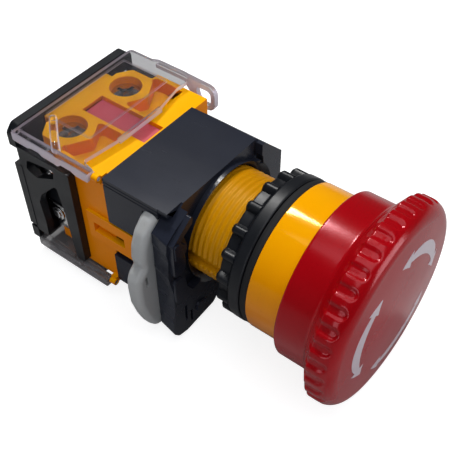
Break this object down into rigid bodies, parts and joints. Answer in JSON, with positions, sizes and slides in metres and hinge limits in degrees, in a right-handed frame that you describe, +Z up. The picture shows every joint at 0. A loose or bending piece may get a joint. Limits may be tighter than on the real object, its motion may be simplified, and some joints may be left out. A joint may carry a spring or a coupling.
{
  "type": "emergency stop button",
  "caption": "Panel-mounted twist-release emergency stop button: red mushroom head, yellow threaded barrel with ring nut, locking-lever adaptor and contact block with clear terminal covers.",
  "frame": {"origin": "on the button's axis, in the plane of the front face of the panel it is mounted in, which is the gasket's rear face", "axes": "+Y along the button's axis from the mushroom head to the contact block, +Z up towards the adaptor's closed top plate, -X towards the locking lever"},
  "size_m": [0.042, 0.0767, 0.04],
  "materials": {
    "red_plastic": "gloss",
    "white_print": "satin",
    "yellow_plastic": "gloss",
    "black_plastic": "satin",
    "black_rubber": "matte",
    "white_nylon": "satin",
    "pink_plastic": "satin",
    "clear_plastic": "clear gloss",
    "spring_steel": "bright",
    "zinc_steel": "zinc plated",
    "contact_brass": "satin"
  },
  "bodies": {
    "base": {"operator_body": "yellow_plastic", "panel_gasket": "black_rubber", "stem_seal": "black_rubber", "latch_sleeve": "black_plastic", "adaptor_body": "black_plastic", "contact_housing": "yellow_plastic", "back_frame": "black_plastic", "nc_terminal_top": "contact_brass", "nc_terminal_bottom": "contact_brass", "no_terminal_top": "contact_brass", "no_terminal_bottom": "contact_brass", "terminal_screws": "zinc_steel", "clamp_washers": "zinc_steel", "return_spring": "spring_steel", "carrier_spring": "spring_steel"},
    "pusher": {"pusher": "white_nylon", "latch_pins": "zinc_steel", "latch_spring": "spring_steel"},
    "head": {"mushroom_cap": "red_plastic", "release_arrows": "white_print", "plunger_stem": "black_plastic", "stem_clip": "spring_steel"},
    "ring_nut": {"ring_nut": "black_plastic"},
    "lock_lever": {"lock_lever": "white_nylon"},
    "carrier": {"contact_carrier": "pink_plastic", "nc_bridge": "contact_brass", "no_bridge": "contact_brass", "nc_spring": "spring_steel", "no_spring": "spring_steel"},
    "top_cover": {"top_cover": "clear_plastic"},
    "bottom_cover": {"bottom_cover": "clear_plastic"}
  },
  "joints": [
    {"name": "push", "type": "slide", "parent": "base", "child": "pusher", "axis": [0, 1, 0], "range_m": [0, 0.004], "stiffness_N_per_m": 1500, "springref_m": -0.008, "deforming": ["return_spring"]},
    {"name": "twist_release", "type": "hinge", "parent": "pusher", "child": "head", "pos_m": [0, -0.015, 0], "axis": [0, 1, 0], "range_deg": [-40, 40], "stiffness_Nm_per_rad": 0.03},
    {"name": "nut_travel", "type": "slide", "parent": "base", "child": "ring_nut", "axis": [0, 1, 0], "range_m": [0, 0.006]},
    {"name": "lock_turn", "type": "hinge", "parent": "base", "child": "lock_lever", "pos_m": [0, 0.0186, 0], "axis": [0, 1, 0], "range_deg": [-22, 0]},
    {"name": "carrier_travel", "type": "slide", "parent": "base", "child": "carrier", "axis": [0, 1, 0], "range_m": [0, 0.004], "stiffness_N_per_m": 200, "springref_m": -0.006, "deforming": ["carrier_spring"]},
    {"name": "top_cover_hinge", "type": "hinge", "parent": "base", "child": "top_cover", "pos_m": [-0.0156, 0.044, 0.0127], "axis": [0, 1, 0], "range_deg": [-90, 0]},
    {"name": "bottom_cover_hinge", "type": "hinge", "parent": "base", "child": "bottom_cover", "pos_m": [-0.0156, 0.044, -0.0157], "axis": [0, 1, 0], "range_deg": [0, 90]}
  ],
  "couplings": [
    {"joint": "carrier_travel", "follows": "push", "ratio": 1}
  ]
}
